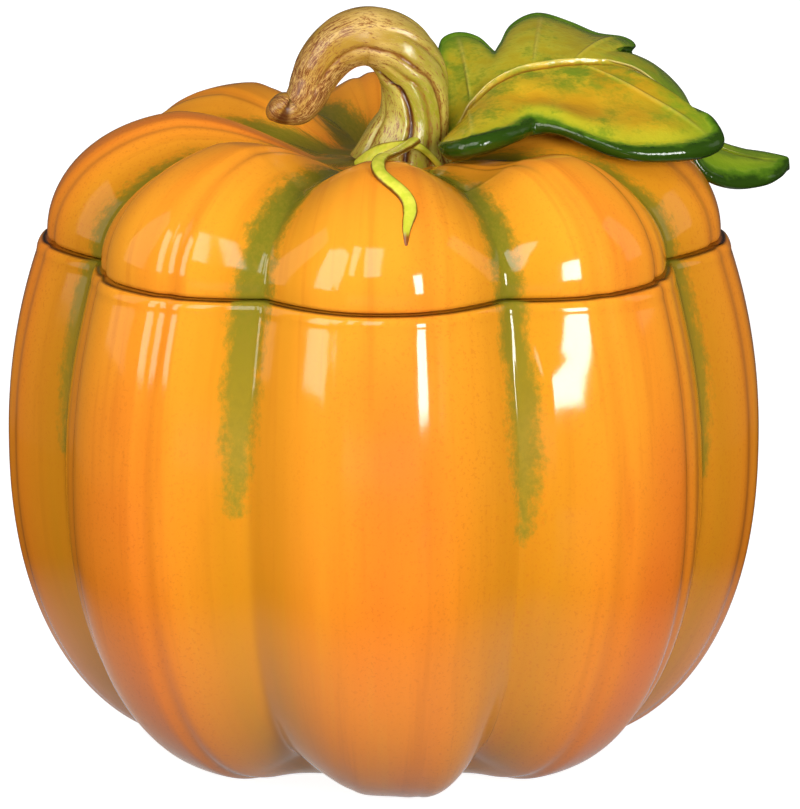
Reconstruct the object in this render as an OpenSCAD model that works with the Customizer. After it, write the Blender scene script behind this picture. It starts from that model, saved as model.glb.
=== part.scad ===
// Lidded ceramic jar in the form of a ribbed pumpkin. The lid carries a curved stem
// that serves as its handle, a lobed leaf on a short stalk and a curled tendril.
// The origin is the centre of the foot ring, on the surface that the jar stands on.
// +Z is up and the front of the jar faces -Y. All sizes are in millimetres.

/* [Jar] */
// Widest radius, over the crest of a rib
jar_r = 115.5; // [112:0.5:119]
// Height of the seam between jar and lid
seam_z = 161; // [157:1:165]
// Height of the widest place
belly_z = 98; // [94:1:102]
// Depth of the grooves between the ribs
groove_depth = 11.5; // [9:0.5:12.5]
// Depth of the two shallow creases along each rib
crease_depth = 1.2; // [0:0.2:2]
// Thickness of the cast wall
wall = 6; // [5.5:0.5:7]

/* [Mouth and foot] */
// Radius of the mouth
mouth_r = 84; // [82:0.5:85]
// Radial play of the lid's locating ring in the mouth
lid_play = 2; // [1:0.5:3]
// How far the locating ring reaches down into the jar
flange_drop = 12; // [8:1:16]
// Outer radius of the foot ring
foot_r = 40; // [36:1:44]
// Height of the foot ring below the base
foot_h = 1; // [0.8:0.1:1.4]

/* [Lid] */
// Highest place of the ribs above the seam
dome_h = 38; // [36:0.5:40]
// Height of the hollow around the stem, above the seam
dimple_h = 24.4; // [23:0.2:26]

/* [Stem and leaf] */
// Depth of the stem's deepest groove, as a share of its radius
stem_groove = 0.14; // [0.08:0.02:0.2]
// Thickness of the leaf
leaf_t = 4.6; // [3.6:0.2:5.2]
// Half the thickness of the leaf's rolled front edge
leaf_roll = 3; // [2.4:0.2:3.4]
// Width of the tendril
tendril_w = 4.4; // [3:0.2:5]

/* [Hidden] */
$fn = 96;

glaze = "#e8841c";
cream = "#f0e6d2";
bisque = "#e2d3bd";
stem_tan = "#a8742c";
leaf_green = "#8a9c22";
lime = "#c4d33c";

// Azimuths of the grooves, in degrees from the front (-Y) towards +X
groove_az = [-68, -22.5, 23, 68, 112.5, 157, 202, 247];
// How far each rib sinks towards the stem: the one under the leaf is the lowest
rib_dip = [0, 1.5, 6, 0, 0, 0, 0, 0];
// How far each rib bulges just above the base: only the front one does, right of its crest
rib_swell = [0, 4.5, 0, 0, 0, 0, 0, 0];
swell_at = 0.62;        // place of the bulge across the rib, -1 to 1 from groove to groove
swell_wide = 0.3;       // and its half width
// Columns of points across one rib, and the rows along its profile
rib_steps = 12;
belly_rows = 11;
shoulder_rows = 6;
dimple_rows = 6;
dome_rows = 9;

rim_gap = 0.3;          // open height of the seam
seat_gap = 0.05;        // the lid stands this far clear of its seat
bite = 0.6;             // how far joined pieces reach into each other
base_r = 55;            // radius at which the belly turns into the base
edge_soft = 4;          // height of the soft edge at the seam
neck_h = 8;             // height of the seat ring in the mouth
rim_in = 2.4;           // the soft edge draws the rim in by this much
lid_r = 103;            // widest radius of the lid
lid_top_r = 63;         // radius of the highest place of the lid's ribs
dimple_r = 21;          // radius of the flat place under the stem
lid_mid_r = 55;         // centre of the ellipse that the lid's shoulder follows
edge_in = 1.4;          // the lid's lower edge is rounded by this much

cols = len(groove_az) * rib_steps;

// ---------- small helpers ----------

function unit(v) = v / norm(v);
function mix(a, b, t) = a + (b - a) * t;
function soft(t) = let (c = min(1, max(0, t))) c * c * (3 - 2 * c);

// A smooth curve through a list of points, t from 0 to 1
function curve(p, t) =
    let (n = len(p) - 1, u = min(n - 1e-6, max(0, t * n)), i = floor(u), f = u - i,
         a = p[max(0, i - 1)], b = p[i], c = p[i + 1], d = p[min(n, i + 2)])
    0.5 * (2 * b + (c - a) * f + (2 * a - 5 * b + 4 * c - d) * f * f
           + (3 * b - a - 3 * c + d) * f * f * f);

// Outward normal of a profile that is followed from a to b, with the solid on its left
function out_normal(a, b) = let (d = unit(b - a)) [d[1], -d[0]];

// ---------- ribs ----------

function rib_of(j) = floor(j / rib_steps) % len(groove_az);
function rib_end(i) = i < len(groove_az) - 1 ? groove_az[i + 1] : groove_az[0] + 360;
function column_az(j) =
    mix(groove_az[rib_of(j)], rib_end(rib_of(j)), (j % rib_steps) / rib_steps);
// Place across the rib: 0 on the crest, -1 and 1 in the grooves
function across(j) = 2 * (j % rib_steps) / rib_steps - 1;
// A rib is three gently bowed panels, so its sides fall almost straight into the grooves
function groove_share(p) = mix(p * p, p < 0.3 ? 0.4 * p * p : 0.036 + 1.377 * (p - 0.3), 0.7);
function crease_share(p) = abs(p - 1 / 3) < 0.01 ? 1 : 0;
function bulge_share(p) = exp(-pow((p - swell_at) / swell_wide, 2));

// A row is [place, direction, groove depth, crease depth, share of the dip, share of the bulge]
function ring_point(row, j) =
    let (p = across(j), az = column_az(j), full = 1 - p * p,
         s = row[2] * groove_share(abs(p)) + row[3] * crease_share(abs(p))
             - row[5] * rib_swell[rib_of(j)] * bulge_share(p),
         q = row[0] - row[1] * s,
         dip = row[4] * rib_dip[rib_of(j)] * full)
    [q[0] * sin(az), -q[0] * cos(az), q[1] - dip];

// Closed shell from rows of points between two end points on the axis
module ribbed_shell(rows, first, last, flip) {
    n = len(rows);
    points = concat([[0, 0, first]], [for (row = rows, j = [0:cols - 1]) ring_point(row, j)],
                    [[0, 0, last]]);
    function at(i, j) = 1 + i * cols + j % cols;
    faces = concat(
        [for (j = [0:cols - 1]) [0, at(0, j), at(0, j + 1)]],
        [for (i = [0:n - 2], j = [0:cols - 1]) [at(i, j), at(i + 1, j), at(i + 1, j + 1)]],
        [for (i = [0:n - 2], j = [0:cols - 1]) [at(i, j), at(i + 1, j + 1), at(i, j + 1)]],
        [for (j = [0:cols - 1]) [at(n - 1, j), n * cols + 1, at(n - 1, j + 1)]]);
    polyhedron(points, flip ? [for (f = faces) [f[2], f[1], f[0]]] : faces);
}

// ---------- jar profile ----------

// Belly below the widest place, a = 90 at the base and 0 at the widest place
function belly(a, off) =
    [base_r + (jar_r - base_r - off) * cos(a),
     belly_z - (belly_z - foot_h - off) * pow(sin(a), 0.89)];
// Shoulder above it, s = 0 at the widest place and 1 where the soft edge starts
function shoulder(s, off) =
    let (z = belly_z + s * (seam_z - edge_soft - belly_z))
    [jar_r - off - 9.2 * pow(s, 2.1), z];
// The grooves run on under the base and fade out at the foot
function base_fade(r) = soft((r - 40) / 30);
function swell_share(q) = soft((q[0] - 56) / 12) * (1 - soft((q[1] - 5) / 50));
function base_row(r, z, side) = [[r, z], [0, -1], side * base_fade(r) * groove_depth, 0, 0, 0];

function belly_row(i, off, side) =
    let (a = 88 * (1 - i / belly_rows), q = belly(a, off),
         n = out_normal(belly(a + 0.5, off), belly(max(0, a - 0.5), off)),
         fade = base_fade(q[0]))
    [q, n, side * fade * groove_depth, side * fade * crease_depth, 0,
     off > 0 ? 0 : swell_share(q)];
function shoulder_row(i, off, side) =
    let (s = i / shoulder_rows, q = shoulder(s, off),
         n = out_normal(shoulder(max(0, s - 0.01), off), shoulder(s + 0.01, off)))
    [q, n, side * groove_depth, side * crease_depth, 0, 0];

jar_edge_r = shoulder(1, 0)[0];
jar_outside = concat(
    [for (r = [36, 43, 50]) base_row(r, foot_h, 1)],
    [for (i = [0:belly_rows - 1]) belly_row(i, 0, 1)],
    [for (i = [0:shoulder_rows]) shoulder_row(i, 0, 1)],
    [for (k = [[0.4, 1.5], [1.1, 2.9], [rim_in, 3.8], [rim_in + 2, edge_soft]])
        [[jar_edge_r - k[0], seam_z - edge_soft + k[1]], [1, 0], groove_depth, crease_depth, 0, 0]]);
jar_mouth = [
    [[mouth_r + 4, seam_z], [0, 1], 0, 0, 0, 0],
    [[mouth_r + 4, seam_z - neck_h], [-1, 0], 0, 0, 0, 0],
    [[mouth_r + 12, seam_z - neck_h - 6], [-1, 0], 4, 0, 0, 0]];
jar_inside = concat(
    [for (i = [shoulder_rows - 2:-2:0]) shoulder_row(i, wall, 0.9)],
    [for (i = [belly_rows - 2:-2:0]) belly_row(i, wall, 0.9)],
    [for (r = [54, 46, 38]) base_row(r, foot_h + wall, 0.9)]);

// ---------- lid profile ----------

function dimple_z(r) =
    seam_z + mix(dimple_h, dome_h, pow(sin(90 * (r - dimple_r) / (lid_top_r - dimple_r)), 1.1));
// Outer profile of a rib of the lid, u = 0 at the stem and 1 at the seam
top_angle = acos((lid_top_r - lid_mid_r) / (lid_r - lid_mid_r));
function lid_profile(u, off) =
    u < 0.4
    ? let (r = mix(dimple_r, lid_top_r, u / 0.4)) [r, dimple_z(r) - off]
    : let (a = top_angle * (1 - (u - 0.4) / 0.6), w = (dome_h - 2) / sin(top_angle))
      [lid_mid_r + (lid_r - lid_mid_r - off) * cos(a), seam_z + 2 + (w - off) * sin(a)];
function lid_fade(r) = soft((r - 16) / 46);
function dip_share(r) = r < 24 || r > 78 ? 0 : pow(sin(180 * (r - 24) / 54), 2);
// Up and out from the lid: the profile is followed from the stem to the seam
function lid_normal(u, off) =
    -out_normal(lid_profile(max(0, u - 0.01), off), lid_profile(min(1, u + 0.01), off));
function lid_row(u, off, side) =
    let (q = lid_profile(u, off))
    [q, lid_normal(u, off), side * lid_fade(q[0]) * groove_depth,
     side * lid_fade(q[0]) * crease_depth, dip_share(q[0]), 0];

lid_z = seam_z + rim_gap;
flange_r = mouth_r - lid_play;
lid_outside = concat(
    [for (i = [0:dimple_rows - 1]) lid_row(0.4 * i / dimple_rows, 0, 1)],
    [for (i = [0:dome_rows]) lid_row(0.4 + 0.6 * i / dome_rows, 0, 1)],
    [for (k = [[0.4, 0.8], [edge_in, 0.15], [edge_in + 2, 0]])
        [[lid_r - k[0], lid_z + k[1]], [1, 0], groove_depth, crease_depth, 0, 0]]);
lid_under = [
    [[flange_r - 5, lid_z], [0, -1], 0, 0, 0, 0],
    [[flange_r - 5, lid_z + 4], [0, -1], 0, 0, 0, 0],
    [[flange_r + 6, lid_z + 7], [1, 0], 5, 0, 0, 0]];
lid_inside = [for (i = [dome_rows - 2:-2:0]) lid_row(0.4 + 0.6 * i / dome_rows, wall, 1)];
lid_hollow = [for (i = [dimple_rows - 2:-2:0]) lid_row(0.4 * i / dimple_rows, wall, 1)];

// ---------- sweeps ----------

// Points of a closed section at t of a path; wide and high are its half sizes.
// The section's first axis is across the path, and its second points away from it.
function frame_at(path, t, up) =
    let (d = unit(curve(path, t + 0.004) - curve(path, t - 0.004)), side = unit(cross(d, up)))
    [side, cross(side, d)];

module swept(sections) {
    n = len(sections[0]);
    m = len(sections);
    points = [for (s = sections) each s];
    polyhedron(points, concat(
        [[for (j = [n - 1:-1:0]) j]],
        [for (i = [0:m - 2], j = [0:n - 1])
            [i * n + j, i * n + (j + 1) % n, (i + 1) * n + (j + 1) % n]],
        [for (i = [0:m - 2], j = [0:n - 1])
            [i * n + j, (i + 1) * n + (j + 1) % n, (i + 1) * n + j]],
        [[for (j = [0:n - 1]) (m - 1) * n + j]]));
}

// ---------- stem ----------

// Centre line of the stem and its radius, from the lid to the knob at its end. The heights of
// everything on the lid are given above the seam.
stem_path = [
    [6, 0, 23.4, 16.4], [7, 0, 29.5, 13.4], [9, 0, 37, 10.9], [9.5, 0, 45, 10.3],
    [8.5, 0, 51.5, 10.4], [5, -1, 57.5, 10], [0.5, -1, 61, 9.5], [-5, -1, 62.5, 9.1],
    [-10.5, -2, 61.5, 8.7], [-15, -2, 58.5, 8.2], [-19, -3, 54, 7.6], [-21.5, -3, 49, 6.9],
    [-23.5, -4, 44.5, 6.2], [-26.2, -4, 41, 5.5], [-29.4, -5, 40.2, 4.3], [-31.6, -5, 41.4, 5.1],
    [-34.2, -5, 43.6, 4.6]];
stem_rows = 44;
stem_points = 30;
stem_twist = 76;        // degrees that the grooves turn between the trunk and the arch
// Each groove: [azimuth at the foot, share of the full depth, place where it has faded out]
stem_grooves = [[-55, 0.6, 0.34], [0, 1, 0.44], [33, 0.75, 0.38], [62, 0.75, 0.78],
                [105, 0.5, 0.45], [150, 0.6, 0.4], [195, 0.6, 0.4], [250, 0.6, 0.4]];
groove_wide = 8;        // half width of a groove, in degrees around the stem

function xyz(p) = [p[0], p[1], p[2]];
function turn_at(t) = stem_twist * soft((t - 0.08) / 0.34);
function wrapped(a) = a - 360 * round(a / 360);
function stem_cut(a, t) =
    max([for (g = stem_grooves)
        let (x = wrapped(a - g[0] + turn_at(t)) / groove_wide)
        g[1] * exp(-x * x) * (1 - soft((t - g[2] + 0.12) / 0.12))]);
function stem_section(t) =
    let (p = curve(stem_path, t), c = xyz(p),
         d = unit(xyz(curve(stem_path, t + 0.01)) - xyz(curve(stem_path, t - 0.01))),
         outer = unit(cross([0, 1, 0], d)), front = cross(outer, d))
    [for (k = [0:stem_points - 1])
        let (a = 360 * k / stem_points, r = p[3] * (1 - stem_groove * stem_cut(a, t)))
        c + r * (cos(a) * front + sin(a) * outer)];

// ---------- leaf ----------

// Middle of the leaf's thickness along its back edge, its midrib and its front edge,
// all from the stalk to the tip
leaf_back = [
    [20, 4, 29.5], [18, 14, 39.5], [16.5, 28, 48.5], [17.5, 40, 52], [22.5, 46, 53],
    [28.5, 44, 52], [34, 34, 49], [37, 42, 50.5], [40, 54, 53.5], [45, 60, 55.5],
    [50, 62, 55.5], [58, 61, 53], [66.5, 58, 50], [74.5, 54, 49.5], [77.5, 50, 48],
    [74, 43, 46], [80, 46, 44], [86.5, 48, 39.5], [92, 43, 34], [95.5, 37, 26],
    [100, 33, 20.5], [108.5, 34, 18], [118, 31, 18], [124.5, 25, 18]];
leaf_mid = [
    [21.5, 0, 29], [22.5, 0.5, 31], [24, 1, 33], [26, 2, 35.5], [28, 3.5, 38.5],
    [30.5, 5, 41], [33.5, 7, 43.8], [37, 8.5, 45.8], [40, 10, 47], [43, 11.5, 47.8],
    [46, 12.5, 48.3], [49.5, 13.5, 48.7], [53, 14.5, 49], [57, 15.5, 49], [61, 16.5, 48.8],
    [65, 17, 48.5], [70, 17.5, 47.8], [78, 18.5, 44.5], [89, 20, 34], [97, 20.5, 25],
    [104, 21, 20.5], [112, 21.5, 18.3], [118.5, 22, 17.5], [124.5, 23.5, 17.5]];
leaf_front = [
    [20, -6, 29.5], [17.5, -16, 30.5], [18, -26, 31], [23, -32, 32.5], [29, -33, 34],
    [35.5, -30, 35], [41.5, -23, 35.5], [46, -18, 36], [52.5, -21, 36.5], [61, -26, 34.5],
    [71, -29, 31.5], [81.5, -28, 30], [93, -25, 30], [99.5, -20.5, 30.5], [103, -15, 32],
    [100.5, -8.5, 35], [95, -3, 37], [88, 4, 36], [92, 3, 26.5], [98, 3, 17.5],
    [107, 6, 13.5], [117, 11, 13.5], [122.5, 17, 15], [125, 22, 17]];
leaf_rows = 64;
// Places between the midrib (0) and an edge (1) that the surface is drawn at
leaf_cols = [0, 0.25, 0.5, 0.75, 0.92, 1];
leaf_crown = 2.4;       // how far the blade bulges between midrib and edge
leaf_edge = 0.25;       // thickness left at the very edge, as a share
// Share of the rolled edge at each of leaf_cols, and how thick the roll is along each edge
roll_cols = [0, 0, 0, 0.3, 1, 0.4];
roll_front = [0.8, 1, 1, 0.95, 0.7, 0.8, 0.9, 0.9, 0.8, 0.6, 0.6, 0.5];

function leaf_side(k) = k < 0 ? leaf_front : leaf_back;
function leaf_at(t, k) =
    let (w = leaf_cols[abs(k)])
    mix(curve(leaf_mid, t), curve(leaf_side(k), t), w)
    + [0, 0, leaf_crown * 4 * w * (1 - w) * soft(6 * t) * soft(6 - 6 * t)];
function leaf_normal(t, k) =
    let (n = len(leaf_cols) - 1, a = max(-n, k - 1), b = min(n, k + 1),
         u = leaf_at(min(1, t + 0.01), k) - leaf_at(max(0, t - 0.01), k),
         v = leaf_at(t, b) - leaf_at(t, a), c = cross(u, v))
    unit([c[0], c[1], max(c[2], 0.6 * norm([c[0], c[1]]))]);
function roll_at(t, k) =
    k < 0 ? leaf_roll * curve([for (v = roll_front) [v]], t)[0] : 0.55 * leaf_roll;
function leaf_half(t, k) =
    let (w = leaf_cols[abs(k)])
    max(leaf_t / 2 * max(leaf_edge, sqrt(1 - pow(w, 5))), roll_at(t, k) * roll_cols[abs(k)]);

// ---------- tendril and collar ----------

// Centre line of the tendril: from the foot of the stem over the front rib
tendril_path = [
    [9.5, -13.5, 32.8], [7.2, -22, 33], [4.2, -34, 34], [1.2, -50, 36.2], [-0.6, -60, 37.6],
    [-1.6, -68, 37.4], [-1, -73.5, 36.2], [1.2, -77.5, 34.9], [3.8, -80.5, 33.4],
    [6.2, -83.2, 31.6], [7.6, -85.9, 29.5], [7.8, -88.7, 27.4], [7.2, -91.3, 25.3],
    [6.8, -93.4, 23.4], [6.7, -95.2, 21.2], [6.7, -96.6, 19.4]];
tendril_rows = 46;
tendril_thick = 2.6;

// Direction out of the lid's surface at a place
function lid_up(c) = let (r = norm([c[0], c[1]]), k = (r - 58) / 40)
    unit([c[0] / r * k, c[1] / r * k, 1]);
function tendril_section(t) =
    let (c = curve(tendril_path, t), f = frame_at(tendril_path, t, lid_up(c)),
         size = 0.18 + 0.82 * min(1, 3.6 * (1 - t)))
    [for (a = [0:36:324])
        c + f[0] * cos(a) * tendril_w / 2 * size - f[1] * sin(a) * tendril_thick / 2 * size];

// A small bract at the foot of the stem: fat on the left, a thin line on the right
collar_path = [
    [-8.6, -9, 24.8], [-7, -10.8, 25.7], [-4.8, -12.6, 27], [-2.1, -14.4, 28.5],
    [0.9, -15.4, 29.9], [3.9, -15.4, 31], [6.7, -14.6, 31.6], [9, -14, 31.6],
    [11.4, -13.4, 30.4], [13.8, -12.6, 28.2], [15.8, -11.6, 25.8], [17.2, -10.4, 23.8]];
// Half its width along that line
collar_wide = [1, 2, 3, 3.4, 3, 2.2, 1.6, 1.3, 1.1, 1, 1, 1];
collar_rows = 24;
function collar_section(t) =
    let (c = curve(collar_path, t), f = frame_at(collar_path, t, unit([0, -0.7, 0.7])),
         w = curve([for (v = collar_wide) [v]], t)[0])
    [for (a = [0:36:324]) c + f[0] * cos(a) * w - f[1] * sin(a) * (0.6 + 0.35 * w)];

// ---------- the pieces ----------

// Hollow body of the jar with its ribs
module jar_body() {
    color(glaze)
    ribbed_shell(concat(jar_outside, jar_mouth, jar_inside), foot_h, foot_h + wall, false);
}

// Seat ring that lines the mouth and carries the lid
module jar_rim() {
    top = lid_z - seat_gap;
    color(cream)
    rotate_extrude()
    polygon([[mouth_r, seam_z - neck_h], [mouth_r + 4 + bite, seam_z - neck_h],
             [mouth_r + 4 + bite, top], [mouth_r + 1, top], [mouth_r, top - 1]]);
}

// Unglazed ring that the jar stands on
module foot_ring() {
    color(bisque)
    rotate_extrude()
    polygon([[foot_r - 8, 0.4], [foot_r - 7.6, 0], [foot_r - 0.4, 0], [foot_r, 0.4],
             [foot_r, foot_h + bite], [foot_r - 8, foot_h + bite]]);
}

// Hollow dome of the lid
module lid_shell() {
    color(glaze)
    ribbed_shell(concat(lid_outside, lid_under, lid_inside, lid_hollow),
                 seam_z + dimple_h, seam_z + dimple_h - wall, true);
}

// Ring under the lid that keeps it centred in the mouth
module lid_flange() {
    low = lid_z - flange_drop;
    color(cream)
    rotate_extrude()
    polygon([[flange_r - 4, low + 1], [flange_r - 3, low], [flange_r - 1, low],
             [flange_r, low + 1], [flange_r, lid_z + bite], [flange_r - 4, lid_z + bite]]);
}

// Curved, grooved stem that is the lid's handle
module stem_handle() {
    color(stem_tan)
    translate([0, 0, seam_z])
    swept([for (i = [0:stem_rows]) stem_section(i / stem_rows)]);
}

// Small bract that hugs the foot of the stem
module stem_collar() {
    color(lime)
    translate([0, 0, seam_z])
    swept([for (i = [0:collar_rows]) collar_section(i / collar_rows)]);
}

// Lobed leaf
module leaf_blade() {
    n = len(leaf_cols) - 1;
    wide = 2 * n + 1;
    ks = [-n:n];
    ts = [for (i = [0:leaf_rows]) i / leaf_rows];
    top = [for (t = ts, k = ks) leaf_at(t, k) + leaf_normal(t, k) * leaf_half(t, k)];
    low = [for (t = ts, k = ks) leaf_at(t, k) - leaf_normal(t, k) * leaf_half(t, k)];
    m = len(top);
    last = leaf_rows * wide;
    quads = concat(
        [for (i = [0:leaf_rows - 1], j = [0:wide - 2])
            let (a = i * wide + j) [a, a + 1, a + wide + 1, a + wide]],
        [for (i = [0:leaf_rows - 1], j = [0:wide - 2])
            let (a = m + i * wide + j) [a, a + wide, a + wide + 1, a + 1]],
        [for (i = [0:leaf_rows - 1])
            let (a = i * wide) [a, a + wide, m + a + wide, m + a]],
        [for (i = [0:leaf_rows - 1])
            let (a = i * wide + wide - 1) [a + wide, a, m + a, m + a + wide]],
        [for (j = [0:wide - 2]) [j + 1, j, m + j, m + j + 1]],
        [for (j = [0:wide - 2]) let (a = last + j) [a, a + 1, m + a + 1, m + a]]);
    color(leaf_green)
    translate([0, 0, seam_z])
    polyhedron(concat(top, low),
               [for (q = quads) each [[q[0], q[1], q[2]], [q[0], q[2], q[3]]]]);
}

// Stalk that joins the leaf to the foot of the stem
module leaf_stalk() {
    path = [[13, -1, 25], [18, -1, 26.5], [22, 0, 29], [26, 2, 33.5], [31, 5, 39]];
    rows = 14;
    color(leaf_green)
    translate([0, 0, seam_z])
    swept([for (i = [0:rows])
        let (t = i / rows, c = curve(path, t), f = frame_at(path, t, [0, -1, 0]), r = 4 - 1.4 * t)
        [for (a = [0:30:330]) c + (f[0] * cos(a) - f[1] * sin(a)) * r]]);
}

// Flat tendril that curls down the front of the lid
module tendril() {
    color(lime)
    translate([0, 0, seam_z])
    swept([for (i = [0:tendril_rows]) tendril_section(i / tendril_rows)]);
}

jar_body();
jar_rim();
foot_ring();
lid_shell();
lid_flange();
stem_handle();
stem_collar();
leaf_blade();
leaf_stalk();
tendril();
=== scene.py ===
"""Looks of a lidded ceramic pumpkin jar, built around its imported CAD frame.

Shapes are worked out in millimetres, in the row frame (origin at the foot ring's centre, +Z up,
front towards -Y), and turned into metres when a mesh is made.
"""
import math

import bpy
import numpy as np
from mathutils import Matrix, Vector


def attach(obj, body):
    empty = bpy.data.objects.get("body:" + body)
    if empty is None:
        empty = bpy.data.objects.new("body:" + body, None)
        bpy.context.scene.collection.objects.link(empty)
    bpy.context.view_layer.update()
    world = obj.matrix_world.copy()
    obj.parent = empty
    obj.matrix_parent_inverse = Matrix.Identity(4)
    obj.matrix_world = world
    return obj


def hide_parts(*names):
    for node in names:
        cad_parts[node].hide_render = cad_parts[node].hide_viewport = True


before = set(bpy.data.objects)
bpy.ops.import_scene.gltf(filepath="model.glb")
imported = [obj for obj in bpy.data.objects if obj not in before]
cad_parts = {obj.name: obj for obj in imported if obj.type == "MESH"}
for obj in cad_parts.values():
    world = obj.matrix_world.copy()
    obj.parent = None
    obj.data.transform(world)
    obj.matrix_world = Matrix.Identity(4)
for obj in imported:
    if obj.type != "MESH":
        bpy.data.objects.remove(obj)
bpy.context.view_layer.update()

MM = 0.001

# ---------------------------------------------------------------- camera

CAMERA_AIM = Vector((4.9, 0.0, 107.7)) * MM
CAMERA_RISE = math.radians(14.5)
CAMERA_DISTANCE = 2.2


def make_camera():
    data = bpy.data.cameras.new("camera")
    data.lens = 318.2
    data.sensor_width = 36
    data.clip_end = 60
    cam = bpy.data.objects.new("camera", data)
    back = Vector((0, -math.cos(CAMERA_RISE), math.sin(CAMERA_RISE)))
    cam.location = CAMERA_AIM + back * CAMERA_DISTANCE
    cam.rotation_mode = "QUATERNION"
    cam.rotation_quaternion = (-back).to_track_quat("-Z", "Y")
    bpy.context.scene.collection.objects.link(cam)
    bpy.context.scene.camera = cam


make_camera()

# ---------------------------------------------------------------- numbers shared with the CAD

JAR_R, SEAM_Z, BELLY_Z = 115.5, 161.0, 98.0
GROOVE, WALL, BASE_R, FOOT_R, FOOT_H = 11.5, 6.0, 55.0, 40.0, 1.0
MOUTH_R, LID_PLAY, FLANGE_DROP, EDGE_SOFT, NECK_H = 84.0, 2.0, 12.0, 4.0, 8.0
DOME_H, DIMPLE_H, LID_R, LID_TOP_R = 38.0, 24.4, 103.0, 63.0
DIMPLE_R, LID_MID_R, LID_Z = 21.0, 55.0, 161.3
GROOVE_AZ = np.array([-68, -22.5, 23, 68, 112.5, 157, 202, 247.0])
RIB_DIP = np.array([0, 1.5, 6, 0, 0, 0, 0, 0.0])
RIB_SWELL = np.array([0, 4.5, 0, 0, 0, 0, 0, 0.0])
SWELL_AT, SWELL_WIDE = 0.62, 0.3
RIBS = len(GROOVE_AZ)

# ---------------------------------------------------------------- small helpers


def soft(t):
    c = np.clip(t, 0, 1)
    return c * c * (3 - 2 * c)


def mix(a, b, t):
    return a + (b - a) * t


def bell(x, at, wide):
    """1 at a place, falling to nothing over about twice its half width."""
    return np.exp(-((x - at) / wide) ** 2)


def unit(v):
    return v / np.maximum(np.linalg.norm(v, axis=-1, keepdims=True), 1e-9)


def curve(points, t):
    """Smooth curve through a list of points, t from 0 to 1, as part.scad draws it."""
    p = np.asarray(points, float)
    n = len(p) - 1
    u = np.clip(np.asarray(t, float) * n, 0, n - 1e-6)
    i = np.floor(u).astype(int)
    f = (u - i)[..., None]
    a, b = p[np.maximum(0, i - 1)], p[i]
    c, d = p[i + 1], p[np.minimum(n, i + 2)]
    return 0.5 * (2 * b + (c - a) * f + (2 * a - 5 * b + 4 * c - d) * f ** 2
                  + (3 * b - a - 3 * c + d) * f ** 3)


def ripple(seed, terms, *axes):
    """Soft hand-made unevenness: a sum of slow waves over the given coordinates."""
    rng = np.random.default_rng(seed)
    total = 0
    for freqs in terms:
        phase = rng.uniform(0, 2 * math.pi)
        total = total + np.sin(sum(f * a for f, a in zip(freqs, axes)) + phase)
    return total / len(terms)


def linear(code):
    """sRGB hex code to the linear colour that a shader takes."""
    rgb = [int(code[i:i + 2], 16) / 255 for i in (1, 3, 5)]
    return [c / 12.92 if c <= 0.04045 else ((c + 0.055) / 1.055) ** 2.4 for c in rgb] + [1.0]


# ---------------------------------------------------------------- mesh building


def grid_faces(rows, cols):
    """Quads between rings of points that close on themselves."""
    i, j = np.meshgrid(np.arange(rows - 1), np.arange(cols), indexing="ij")
    k = (j + 1) % cols
    f = np.stack([i * cols + j, i * cols + k, (i + 1) * cols + k, (i + 1) * cols + j], -1)
    return f.reshape(-1, 4)


def fan(centre, ring, flip=False):
    """Triangles from a point to a ring around it."""
    nxt = np.roll(ring, -1)
    a, b = (nxt, ring) if flip else (ring, nxt)
    return np.stack([np.full(len(ring), centre), a, b], -1)


def volume(points, faces):
    """Six times the enclosed volume: negative if the faces look inwards."""
    total = 0.0
    for f in faces:
        for k in range(1, f.shape[1] - 1):
            a, b, c = points[f[:, 0]], points[f[:, k]], points[f[:, k + 1]]
            total += np.einsum("ij,ij->i", a, np.cross(b, c)).sum()
    return total


def build(name, points, faces, materials, body, replaced, marks=None, shades=None,
          sharp=55):
    """One closed piece. faces is a list of arrays; shades gives the material of each of them."""
    points = np.asarray(points, float)
    if volume(points - points.mean(0), faces) < 0:
        faces = [f[:, ::-1] for f in faces]
    mesh = bpy.data.meshes.new(name)
    mesh.from_pydata((points * MM).tolist(), [], [q for f in faces for q in f.tolist()])
    for m in materials:
        mesh.materials.append(m)
    if shades is not None:
        index = np.concatenate([np.broadcast_to(s, len(f)) for s, f in zip(shades, faces)])
        mesh.polygons.foreach_set("material_index", index.astype(np.int32))
    for key, value in (marks or {}).items():
        value = np.asarray(value, np.float32)
        if value.ndim == 2:
            layer = mesh.attributes.new(key, "FLOAT_VECTOR", "POINT")
            layer.data.foreach_set("vector", value.ravel())
        else:
            layer = mesh.attributes.new(key, "FLOAT", "POINT")
            layer.data.foreach_set("value", value)
    mesh.validate()
    mesh.update()
    mesh.shade_smooth()
    mesh.set_sharp_from_angle(angle=math.radians(sharp))
    piece = bpy.data.objects.new(name, mesh)
    bpy.context.scene.collection.objects.link(piece)
    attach(piece, body)
    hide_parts(replaced)
    return piece


def shell(rows):
    """Points and faces of a closed shell from rings of points, with a pole at each end."""
    n, cols = rows.shape[:2]
    first, last = rows[0].mean(0), rows[-1].mean(0)
    points = np.concatenate([rows.reshape(-1, 3), [first, last]])
    ring = np.arange(cols)
    return points, [grid_faces(n, cols), fan(n * cols, ring, True),
                    fan(n * cols + 1, ring + (n - 1) * cols)]


# ---------------------------------------------------------------- shader building


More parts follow.
